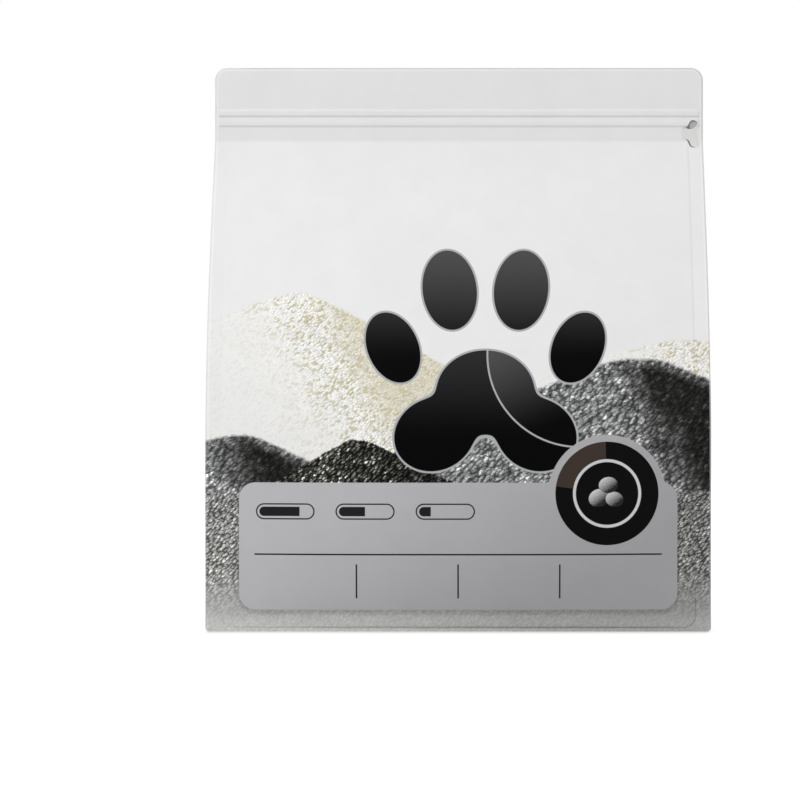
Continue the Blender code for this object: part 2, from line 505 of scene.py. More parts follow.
@dataclass(frozen=True)
class Mound:
    """The outline of a heap: a rounded peak between two straight slopes."""

    peak: tuple[float, float]
    slopes: tuple[float, float]
    radius: float
    lean: float = 0.55
    bluntness: float = 0.2
    drop: float = 0.45
    wander: float = 0.030
    wander_scale: float = 55.0

    def depth(self, g: Graph, x: Value, z: Value, ragged: Value) -> Socket:
        """How far each place lies below the heap's ragged outline."""
        return g.add(g.sub(self.height(g, x), z), ragged)

    def height(self, g: Graph, x: Value) -> Socket:
        """The heap's height over each place across."""
        offset = g.sub(x, self.peak[0])
        slope = g.rise(offset, -self.radius, self.radius, *self.slopes)
        run = g.mul(offset, slope)
        fall = g.math("SQRT", g.add(g.mul(run, run), self.radius**2 * self.bluntness))
        return g.sub(self.peak[1] + self.radius * self.drop, fall)

    def side(self, g: Graph, x: Value, z: Value) -> Socket:
        """How far each place lies to the right of the ridge that runs down from the peak."""
        ridge = g.add(self.peak[0], g.mul(g.sub(self.peak[1], z), self.lean))
        wander = g.mul(g.swing(g.vector(x, z), self.wander_scale, 3.0, 0.6), self.wander)
        return g.add(g.sub(x, ridge), wander)


@dataclass(frozen=True)
class Box:
    """A rounded box of print."""

    centre: tuple[float, float]
    half: tuple[float, float]
    radius: float

    def distance(self, g: Graph, x: Value, z: Value) -> Socket:
        """How far each place lies outside the box's outline."""
        across = g.add(g.math("ABSOLUTE", g.sub(x, self.centre[0])), self.radius - self.half[0])
        up = g.add(g.math("ABSOLUTE", g.sub(z, self.centre[1])), self.radius - self.half[1])
        corner = g.length(g.math("MAXIMUM", across, 0.0), g.math("MAXIMUM", up, 0.0))
        inside = g.math("MINIMUM", g.math("MAXIMUM", across, up), 0.0)
        return g.sub(g.add(corner, inside), self.radius)


@dataclass(frozen=True)
class Oval:
    """A turned ellipse of print."""

    centre: tuple[float, float]
    radii: tuple[float, float]
    turn: float = 0.0

    def distance(self, g: Graph, x: Value, z: Value) -> Socket:
        """About how far each place lies outside the ellipse's outline."""
        cos, sin = math.cos(math.radians(self.turn)), math.sin(math.radians(self.turn))
        dx, dz = g.sub(x, self.centre[0]), g.sub(z, self.centre[1])
        across = g.add(g.mul(dx, cos), g.mul(dz, sin))
        up = g.sub(g.mul(dz, cos), g.mul(dx, sin))
        near = g.length(g.mul(across, 1 / self.radii[0]), g.mul(up, 1 / self.radii[1]))
        steep = g.length(g.mul(across, self.radii[0] ** -2), g.mul(up, self.radii[1] ** -2))
        return g.math("DIVIDE", g.mul(near, g.sub(near, 1.0)), g.add(steep, 1e-4))


@dataclass(frozen=True)
class Granules:
    """Printed granules of two colours, lit from the upper left."""

    colour: Colour
    second: Colour
    size: float
    contrast: float
    share: float = 0.3
    softness: float = 0.34
    flatness: float = 1.3
    relief: float = 1.5
    grit: float = 3.6
    gaps: float = 1.0
    warp: float = 1.6
    warp_scale: float = 0.8
    grit_scale: float = 1.2
    patch_scale: float = 0.16
    stretch: tuple[float, float] = (0.46, 0.84)
    pick_edge: float = 0.02
    gap_from: float = 0.30
    gap_to: float = 0.66
    middle_tone: float = 0.25
    patches: float = 0.9
    singles: float = 1.3

    def paint(self, g: Graph, x: Value, z: Value, strength: Value = 1.0) -> Socket:
        """The colour of the granules at each place.

        Args:
            g: The material's graph.
            x, z: The place on the panel.
            strength: How much of the contrast is left there.

        Returns:
            The colour's socket.
        """
        z = g.mul(z, self.flatness)
        flat = g.vector(x, z)
        warp = g.mul(g.swing(flat, self.warp_scale / self.size, 2.0, 0.7), self.size * self.warp)
        along = g.add(g.mul(g.add(x, z), self.stretch[0]), warp)
        toward = g.add(g.mul(g.sub(z, x), self.stretch[1]), warp)
        near, tint = g.cells(g.vector(along, toward), 1 / self.size)
        lit, _ = g.cells(g.vector(along, g.add(toward, self.size * self.softness)), 1 / self.size)
        parts = g.node("ShaderNodeSeparateColor")
        g.feed(parts.inputs[0], tint)
        facing = g.mul(g.sub(lit, near), self.relief)
        gap = g.rise(near, self.gap_from, self.gap_to, self.middle_tone, -self.gaps)
        grain = g.mul(g.swing(flat, self.grit_scale / self.size, 3.0, 0.75), self.grit)
        patch = g.mul(g.swing(flat, self.patch_scale / self.size, 2.0), self.patches)
        single = g.mul(g.sub(parts.outputs[0], 0.5), self.singles)
        shade = g.add(facing, gap, grain, patch, single)
        few = 1 - self.share
        pick = g.rise(parts.outputs[1], few - self.pick_edge, few + self.pick_edge)
        tint = g.mix(g.mul(pick, strength), self.colour, self.second)
        return g.bright(tint, g.math("EXPONENT", g.mul(shade, strength, self.contrast)))


GRAVEL = Granules(
    srgb(156, 156, 153), srgb(186, 185, 182), 0.0016, 0.72, 0.25, grit=3.2, gaps=1.6
)


@dataclass(frozen=True)
class FilmFinish:
    """Matt laminated film, plain or printed."""

    name: str
    colour: Colour = srgb(238, 238, 238)
    roughness: float = 0.46
    gloss: float = 0.03
    grain: float = 0.00035
    grain_lift: float = 0.06
    grain_depth: float = 0.0004
    haze_scale: float = 60.0
    cloud_scale: float = 16.0
    haze_tone: float = 0.08
    cloud_tone: float = 0.04
    haze_roughness: float = 0.14

    def material(self) -> bpy.types.Material:
        """The film's material, on Object coordinates."""
        made = bpy.data.materials.new(self.name)
        made.use_nodes = True
        g = Graph(made.node_tree)
        place, parts = g.place()
        shader = g.node("ShaderNodeBsdfPrincipled")
        haze = g.noise(place, self.haze_scale, 5.0, 0.65)
        cloud = g.noise(place, self.cloud_scale, 2.0)
        middle = 1 - (self.haze_tone + self.cloud_tone) / 2
        tone = g.add(middle, g.mul(haze, self.haze_tone), g.mul(cloud, self.cloud_tone))
        rough = g.mul(haze, self.haze_roughness)
        bump = g.node("ShaderNodeBump")
        bump.inputs["Strength"].default_value = self.grain_lift
        bump.inputs["Distance"].default_value = self.grain_depth
        g.feed(bump.inputs["Height"], g.noise(place, 1 / self.grain, 3.0, 0.6))
        g.feed(shader.inputs["Base Color"], g.bright(self.print_colour(g, *parts), tone))
        g.feed(shader.inputs["Roughness"], g.add(self.roughness - self.haze_roughness / 2, rough))
        g.feed(shader.inputs["Normal"], bump.outputs[0])
        shader.inputs["Specular IOR Level"].default_value = self.gloss
        g.finish("ShaderNodeOutputMaterial", shader.outputs[0])
        return made

    def print_colour(self, g: Graph, x: Value, y: Value, z: Value) -> Value:
        """The colour at each place: bare film here."""
        return self.colour


@dataclass(frozen=True)
class Paw:
    """The printed motif: a plain paw of glossy black shapes with silver outlines."""

    pad: tuple[Oval, ...] = (
        Oval((0.014, 0.1235), (0.0255, 0.0215)),
        Oval((-0.012, 0.1015), (0.0215, 0.0190), 24.0),
        Oval((0.040, 0.1015), (0.0215, 0.0190), -24.0),
    )
    pad_blend: float = 0.020
    toes: tuple[Oval, ...] = (
        Oval((-0.0335, 0.1460), (0.0135, 0.0195), 24.0),
        Oval((-0.0045, 0.1760), (0.0145, 0.0215), 7.0),
        Oval((0.0325, 0.1760), (0.0145, 0.0215), -7.0),
        Oval((0.0615, 0.1460), (0.0135, 0.0195), -24.0),
    )
    facet: Oval = Oval((0.062, 0.142), (0.047, 0.047))
    foot_blend: float = 0.010
    pad_light: Ramp = Ramp(0.098, 0.152)
    toe_light: Ramp = Ramp(0.138, 0.212)
    facet_light: Ramp = Ramp(0.085, 0.150)
    facet_slant: float = 0.4
    seam: tuple[float, float] = (0.0003, 0.0006)
    outline: float = 0.00045
    silver: Colour = srgb(176, 178, 181)
    lit: Colour = srgb(84, 84, 85)
    mid: Colour = srgb(46, 46, 47)
    dark: Colour = srgb(2, 2, 2)

    def over(self, g: Graph, x: Value, z: Value, behind: Value) -> Socket:
        """The motif painted over what is behind it.

        Args:
            g: The material's graph.
            x, z: The place on the panel.
            behind: The colour behind the motif.

        Returns:
            The colour's socket.
        """
        one, left, right = (oval.distance(g, x, z) for oval in self.pad)
        pad = g.math("SMOOTH_MIN", left, right, self.pad_blend)
        pad = g.math("SMOOTH_MIN", pad, one, self.foot_blend)
        first, *others = (oval.distance(g, x, z) for oval in self.toes)
        toes = first
        for other in others:
            toes = g.math("MINIMUM", toes, other)
        whole = g.math("MINIMUM", pad, toes)
        facet = self.facet.distance(g, x, z)
        slant = g.sub(z, g.mul(x, self.facet_slant))
        pad_tone = g.mix(self.pad_light.at(g, z), self.dark, self.mid)
        toe_tone = g.mix(self.toe_light.at(g, z), self.dark, self.lit)
        facet_tone = g.mix(self.facet_light.at(g, slant), self.dark, self.lit)
        inside_pad = g.inside(pad, PRINT_EDGE)
        tone = g.mix(g.rise(facet, -LINE_EDGE, LINE_EDGE), facet_tone, pad_tone)
        tone = g.mix(inside_pad, toe_tone, tone)
        seam = g.stripe(facet, *self.seam)
        tone = g.mix(g.mul(seam, inside_pad), tone, self.silver)
        painted = g.mix(g.inside(whole, PRINT_EDGE), behind, tone)
        rim = g.stripe(whole, self.outline - LINE_EDGE, self.outline + 2 * LINE_EDGE)
        return g.mix(rim, painted, self.silver)


@dataclass(frozen=True)
class Label:
    """The printed grey label: a ring gauge, three level bars and rows of plain rules."""

    body: Box = Box((0.0, 0.04415), (0.1125, 0.03265), 0.0085)
    dial: tuple[float, float] = (0.0762, 0.0712)
    dial_margin: float = 0.0300
    ring: float = 0.0265
    eye: float = 0.0168
    eye_rim: float = 0.0008
    brown_from: float = 1.60
    brown_to: float = 3.00
    pebbles: tuple[Oval, ...] = (
        Oval((0.0722, 0.0690), (0.0056, 0.0046), 18.0),
        Oval((0.0800, 0.0682), (0.0047, 0.0039), -12.0),
        Oval((0.0768, 0.0755), (0.0050, 0.0042), 6.0),
    )
    bars: tuple[Box, ...] = tuple(
        Box((across, 0.0620), (0.0148, 0.0038), 0.0038) for across in (-0.0885, -0.0475, -0.0065)
    )
    levels: tuple[float, ...] = (0.75, 0.5, 0.25)
    bar_line: float = 0.00035
    bar_inset: float = 0.0014
    rule: Box = Box((0.0, 0.0400), (0.1045, 0.0004), 0.0003)
    ticks: tuple[Box, ...] = tuple(
        Box((across, 0.0262), (0.0004, 0.0088), 0.0003) for across in (-0.0520, 0.0, 0.0520)
    )
    top_left: Colour = srgb(189, 189, 192)
    bottom_right: Colour = srgb(162, 162, 164)
    ink: Colour = srgb(34, 34, 36)
    black: Colour = srgb(10, 10, 10)
    brown: Colour = srgb(64, 54, 49)
    light: Colour = srgb(208, 208, 210)
    shadow: float = 0.22
    shadow_drop: float = 0.0016
    shadow_reach: tuple[float, float] = (-0.0008, 0.0022)
    pebble_edge: Ramp = Ramp(-0.0003, 0.0001, 1.0, 0.0)
    dial_blend: float = 0.003
    slant: tuple[float, float] = (0.5, -0.6)
    slant_reach: Ramp = Ramp(-0.09, 0.03)
    sector_edge: float = 0.004
    eye_specks: tuple[float, float, float] = (900.0, 0.66, 0.76)
    pebble_light: tuple[float, float, float] = (90.0, 120.0, 0.38)
    pebble_grain: tuple[float, float] = (1500.0, 0.5)
    pebble_shade: float = 0.03

    def over(self, g: Graph, x: Value, z: Value, behind: Value) -> Socket:
        """The label painted over what is behind it.

        Args:
            g: The material's graph.
            x, z: The place on the panel.
            behind: The colour behind the label.

        Returns:
            The colour's socket.
        """
        dial = g.sub(g.length(g.sub(x, self.dial[0]), g.sub(z, self.dial[1])), self.dial_margin)
        outline = g.math("SMOOTH_MIN", self.body.distance(g, x, z), dial, self.dial_blend)
        slant = g.add(g.mul(x, self.slant[0]), g.mul(z, self.slant[1]))
        ground = g.mix(self.slant_reach.at(g, slant), self.top_left, self.bottom_right)
        ground = self.lines(g, x, z, ground)
        ground = self.gauge(g, x, z, ground)
        low = self.body.centre[1] - self.shadow_drop
        shadow = Box((0.0, low), self.body.half, self.body.radius).distance(g, x, z)
        behind = g.shadowed(behind, g.rise(shadow, *self.shadow_reach, self.shadow, 0.0))
        return g.mix(g.inside(outline, PRINT_EDGE), behind, ground)

    def lines(self, g: Graph, x: Value, z: Value, ground: Value) -> Socket:
        """The rules and the level bars over the label's ground."""
        for box in (self.rule, *self.ticks):
            ground = g.mix(g.inside(box.distance(g, x, z)), ground, self.ink)
        for box, level in zip(self.bars, self.levels):
            distance = box.distance(g, x, z)
            line = g.stripe(distance, self.bar_line - LINE_EDGE, self.bar_line + LINE_EDGE)
            end = box.centre[0] - box.half[0] + 2 * box.half[0] * level
            full = g.mul(g.inside(g.add(distance, self.bar_inset)), g.inside(g.sub(x, end)))
            ground = g.mix(g.math("MAXIMUM", line, full), ground, self.ink)
        return ground

    def gauge(self, g: Graph, x: Value, z: Value, ground: Value) -> Socket:
        """The two-coloured ring with a dark eye that holds three pebbles."""
        dx, dz = g.sub(x, self.dial[0]), g.sub(z, self.dial[1])
        radius, angle = g.length(dx, dz), g.math("ARCTAN2", dz, dx)
        sector = g.mul(
            g.rise(angle, self.brown_from - self.sector_edge, self.brown_from + self.sector_edge),
            g.inside(g.sub(angle, self.brown_to), self.sector_edge),
        )
        ring = g.mix(sector, self.black, self.brown)
        ground = g.mix(g.inside(g.sub(radius, self.ring)), ground, ring)
        inside = g.inside(g.sub(radius, self.eye))
        scale, few, many = self.eye_specks
        speck = g.noise(g.vector(x, z), scale, 2.0)
        eye = g.mix(g.rise(speck, few, many, 0.0, 0.5), self.black, self.ink)
        right, up, level = self.pebble_light
        grain_scale, grit = self.pebble_grain
        for oval in self.pebbles:
            distance = oval.distance(g, x, z)
            left = g.mul(g.sub(oval.centre[0], x), right)
            lit = g.add(left, g.mul(g.sub(z, oval.centre[1]), up), level)
            grain = g.mul(g.swing(g.vector(x, z), grain_scale, 2.0), grit)
            share = g.math("MAXIMUM", g.add(lit, grain), self.pebble_shade)
            tone = g.mix(share, self.black, self.light)
            eye = g.mix(self.pebble_edge.at(g, distance), eye, tone)
        ground = g.mix(inside, ground, eye)
        rim = g.stripe(
            g.sub(radius, self.eye), self.eye_rim - 2 * LINE_EDGE, self.eye_rim + LINE_EDGE
        )
        return g.mix(rim, ground, self.light)


@dataclass(frozen=True)
class PrintedFilm(FilmFinish):
    """The front film: heaps of granules, a paw and a label over pale film."""

    form: PouchForm = PouchForm()
    # Darker than the film: painted shade of the upright header, which faces the light less than the
    # belly.
    header: Colour = srgb(229.5, 229.5, 229.5)
    cream_heaps: tuple[Mound, ...] = (
        Mound((0.118, 0.1500), (-0.30, 0.42), 0.016),
        Mound((-0.083, 0.1745), (-0.42, 0.56), 0.012),
    )
    dark_heaps: tuple[Mound, ...] = (
        Mound((0.0930, 0.1400), (-0.46, 0.50), 0.024),
        Mound((-0.112, 0.1010), (-0.40, 0.52), 0.014),
    )
    near_heap: Mound = Mound((-0.052, 0.0985), (-0.62, 0.52), 0.010)
    ground_top: float = 0.0720
    cream_strength: Ramp = Ramp(-0.045, 0.015, 0.35, 1.6)
    cream_flank: Ramp = Ramp(-0.006, 0.024, 0.0, 0.60)
    cream_cover: Ramp = Ramp(-0.070, 0.0, 0.30, 0.96)
    cream_edge: Ramp = Ramp(-0.0006, 0.0012)
    dark_flank: Ramp = Ramp(-0.030, 0.004, 1.0, 0.0)
    dark_rim: Ramp = Ramp(0.0, 0.007, 0.55, 0.0)
    dark_edge: Ramp = Ramp(-0.0009, 0.0013)
    near_shade: Ramp = Ramp(-0.020, 0.020, 1.5, 0.7)
    near_edge: Ramp = Ramp(-0.0004, 0.0006)
    ground_calm: Ramp = Ramp(0.004, 0.036, 0.36, 1.0)
    ground_across: Ramp = Ramp(-0.09, 0.11, 0.95, 0.66)
    ground_up: Ramp = Ramp(0.025, 0.070, 1.06, 0.90)
    ground_foot: Ramp = Ramp(0.002, 0.012, 1.26, 1.0)
    ground_edge: Ramp = Ramp(-0.0012, 0.0012)
    cream: Granules = Granules(srgb(243, 242, 238), srgb(208, 199, 165), 0.0012, 0.15, 0.18)
    charcoal: Granules = Granules(srgb(33, 33, 31), srgb(58, 57, 54), 0.0020, 0.56, 0.2)
    grey: Granules = Granules(srgb(126, 127, 127), srgb(164, 165, 165), 0.0023, 0.86, 0.3)
    crisp: Granules = Granules(
        srgb(41, 41, 38), srgb(88, 88, 83), 0.0018, 1.3, 0.3, softness=0.42, relief=2.6, grit=2.9
    )
    gravel: Granules = GRAVEL
    foot: Colour = srgb(200, 200, 198)
    # The grey line at the cut edge is partly the film's cut edge and partly painted shade.
    edge_line: float = 0.0009
    edge_shade_colour: Colour = srgb(198, 198, 199)
    edge_highlight: float = 0.08
    # Painted shade in the seals' crease and the zipper's grooves, and painted highlights on the
    # zipper's ridges.
    crease_shade: float = 0.06
    zip_shade_lines: tuple[float, float] = (0.00715, 0.01245)
    zip_shade: float = 0.13
    zip_highlights: tuple[float, float] = (0.0101, 0.0158)
    zip_highlight: float = 0.040
    zip_line_width: float = 0.00055
    zip_highlight_width: float = 0.00075
    zip_ends: tuple[float, float] = (0.0026, 0.0018)
    crease_width: float = 0.0007
    crease_top: float = 0.002
    crease_sides: Ramp = Ramp(-0.11, 0.11, 0.25, 1.0)
    crease_foot: Ramp = Ramp(0.016, 0.032, 4.5, 1.0)
    edge_highlight_line: tuple[float, float] = (0.0013, 0.0004)
    edge_shade_sides: Ramp = Ramp(-0.12, -0.11, 0.25, 0.6)
    # How far the header's painted shade reaches down over the belly's shoulder.
    header_shade: float = 0.28
    header_shade_reach: tuple[float, float] = (0.030, 0.003)
    motif: Paw = Paw()
    label: Label = Label()

    def print_colour(self, g: Graph, x: Value, y: Value, z: Value) -> Value:
        """The print's colour at each place of the front panel, with painted shade that darkens the
        header.
        """
        # Painted shade: the header's darker tone, eased in over the shoulder below the tear strip.
        base = self.form.strip_base
        low, high = (base - below for below in self.header_shade_reach)
        header_shade = g.rise(z, low, high, 0.0, self.header_shade)
        header_shade = g.math("MAXIMUM", header_shade, g.rise(z, high, base + 0.0006))
        colour = g.mix(header_shade, self.colour, self.header)
        colour = self.heaps(g, x, z, colour)
        colour = self.motif.over(g, x, z, colour)
        colour = self.label.over(g, x, z, colour)
        return self.seals(g, x, z, colour)

    def seals(self, g: Graph, x: Value, z: Value, colour: Value) -> Socket:
        """Painted shade in the seals' crease and zipper grooves, painted highlights on the zipper
        and inside the cut edge, and the cut edge's grey line.
        """
        form = self.form
        inner = Box(
            (0.0, form.bottom_seal + form.height / 2),
            (form.seal_root, form.height / 2),
            form.seal_corner,
        ).distance(g, x, z)
        # Painted shade along the seals' inner edge, fainter on the left towards the light and
        # stronger at the foot.
        crease = g.stripe(inner, 0.0, self.crease_width)
        below = Ramp(form.strip_base - self.crease_top, form.strip_base, 1.0, 0.0)
        crease = g.mul(crease, below.at(g, z))
        crease = g.mul(crease, self.crease_sides.at(g, x), self.crease_shade)
        crease = g.mul(crease, self.crease_foot.at(g, z))
        # Painted shade in the zipper's grooves and painted highlights on its ridges, between the
        # zipper's ends.
        zipped = g.stripe(x, *(form.half_width - end for end in self.zip_ends))
        for rises, width, gain in (
            (self.zip_shade_lines, self.zip_line_width, self.zip_shade),
            (self.zip_highlights, self.zip_highlight_width, -self.zip_highlight),
        ):
            for rise in rises:
                line = g.bell(g.sub(z, form.strip_base + rise), width)
                crease = g.add(crease, g.mul(line, zipped, gain))
        colour = g.shadowed(colour, crease)
        outline = Box((0.0, 0.0), (form.half_width, form.height), form.top_corner)
        edge = g.mul(outline.distance(g, x, z), -1.0)
        # Painted highlight: a lighter line just inside the cut edge, where the rounded rim catches
        # the light.
        inset, width = self.edge_highlight_line
        light = g.bell(g.sub(edge, inset), width)
        colour = g.bright(colour, g.add(1.0, g.mul(light, self.edge_highlight)))
        # Grey line at the cut edge: partly the cut film, partly painted shade, fainter at the left
        # edge towards the light.
        line = g.rise(edge, self.edge_line / 2, self.edge_line, 1.0, 0.0)
        return g.mix(g.mul(line, self.edge_shade_sides.at(g, x)), colour, self.edge_shade_colour)

    def heaps(self, g: Graph, x: Value, z: Value, colour: Value) -> Socket:
        """The heaps and the ground of granules, from the back to the front."""
        ragged = ragged_edge(g, x, z)
        for heap in self.cream_heaps:
            depth = heap.depth(g, x, z, ragged)
            side = heap.side(g, x, z)
            paint = self.cream.paint(g, x, z, self.cream_strength.at(g, side))
            paint = g.mix(self.cream_flank.at(g, side), paint, self.cream.second)
            share = g.mul(self.cream_edge.at(g, depth), self.cream_cover.at(g, side))
            colour = g.mix(share, colour, paint)
        dark = self.charcoal.paint(g, x, z)
        grey = self.grey.paint(g, x, z)
        for heap in self.dark_heaps:
            depth = heap.depth(g, x, z, ragged)
            flank = self.dark_flank.at(g, heap.side(g, x, z))
            lit = g.math("MAXIMUM", flank, self.dark_rim.at(g, depth))
            colour = g.mix(self.dark_edge.at(g, depth), colour, g.mix(lit, dark, grey))
        near = self.near_heap
        crisp = g.bright(self.crisp.paint(g, x, z), self.near_shade.at(g, near.side(g, x, z)))
        inside = self.near_edge.at(g, near.depth(g, x, z, ragged))
        colour = g.mix(inside, colour, crisp)
        return self.ground(g, x, z, colour, ragged)

    def ground(self, g: Graph, x: Value, z: Value, colour: Value, ragged: Value) -> Socket:
        """The ground of granules in front of the heaps, calmer and lighter at the foot.

        Args:
            g: The material's graph.
            x, z: The place on the panel.
            colour: The colour behind the ground.
            ragged: How far the ground's edge strays there.

        Returns:
            The colour's socket.
        """
        depth = g.add(g.sub(self.ground_top, z), ragged)
        calm = self.ground_calm.at(g, z)
        ground = g.mix(calm, self.foot, self.gravel.paint(g, x, z, calm))
        gain = g.mul(self.ground_across.at(g, x), self.ground_up.at(g, z))
        gain = g.mul(gain, self.ground_foot.at(g, z))
        return g.mix(self.ground_edge.at(g, depth), colour, g.bright(ground, gain))


@dataclass(frozen=True)
class PlainFilm(FilmFinish):
    """The film of the back, gussets and bottom: pale over a foot of printed granules."""

    ground_top: float = 0.0720
    ground_calm: Ramp = Ramp(0.006, 0.034, 0.22, 1.0)
    ground_edge: Ramp = Ramp(-0.0012, 0.0012)
    gravel: Granules = GRAVEL

    def print_colour(self, g: Graph, x: Value, y: Value, z: Value) -> Value:
        """Pale film that ends in a band of granules at the foot."""
        along = g.add(x, y)
        ragged = ragged_edge(g, along, z)
        depth = g.add(g.sub(self.ground_top, z), ragged)
        ground = self.gravel.paint(g, along, z, self.ground_calm.at(g, z))
        return g.mix(self.ground_edge.at(g, depth), self.colour, ground)


@dataclass(frozen=True)
class BackFilm(PlainFilm):
    """The back film: plain film with a printed table whose places for text are bare."""

    table: Box = Box((0.0, 0.1540), (0.0985, 0.0640), 0.0085)
    head: Box = Box((0.0, 0.2050), (0.0905, 0.0060), 0.0060)
    head_eye: Box = Box((-0.0845, 0.2050), (0.0034, 0.0034), 0.0034)
    rules: tuple[Box, ...] = tuple(
        Box((0.0, 0.1875 - 0.0188 * row), (0.0905, 0.00025), 0.0002) for row in range(5)
    )
    column: Box = Box((-0.0380, 0.1500), (0.00025, 0.0376), 0.0002)
    top_left: Colour = srgb(216, 216, 218)
    bottom_right: Colour = srgb(196, 196, 199)
    rim: Colour = srgb(168, 168, 171)
    ink: Colour = srgb(40, 40, 42)
    rim_line: float = 0.0005
    slant: tuple[float, float] = (-0.5, -0.6)
    slant_reach: Ramp = Ramp(-0.16, -0.03)

    def print_colour(self, g: Graph, x: Value, y: Value, z: Value) -> Value:
        """The plain film's colour with the table over it."""
        behind = super().print_colour(g, x, y, z)
        slant = g.add(g.mul(x, self.slant[0]), g.mul(z, self.slant[1]))
        ground = g.mix(self.slant_reach.at(g, slant), self.top_left, self.bottom_right)
        for box in (*self.rules, self.column, self.head):
            ground = g.mix(g.inside(box.distance(g, x, z)), ground, self.ink)
        eye = g.inside(self.head_eye.distance(g, x, z))
        ground = g.mix(eye, ground, self.top_left)
        outline = self.table.distance(g, x, z)
        ground = g.mix(g.rise(outline, -self.rim_line, -self.rim_line / 2), ground, self.rim)
        return g.mix(g.inside(outline, PRINT_EDGE), behind, ground)


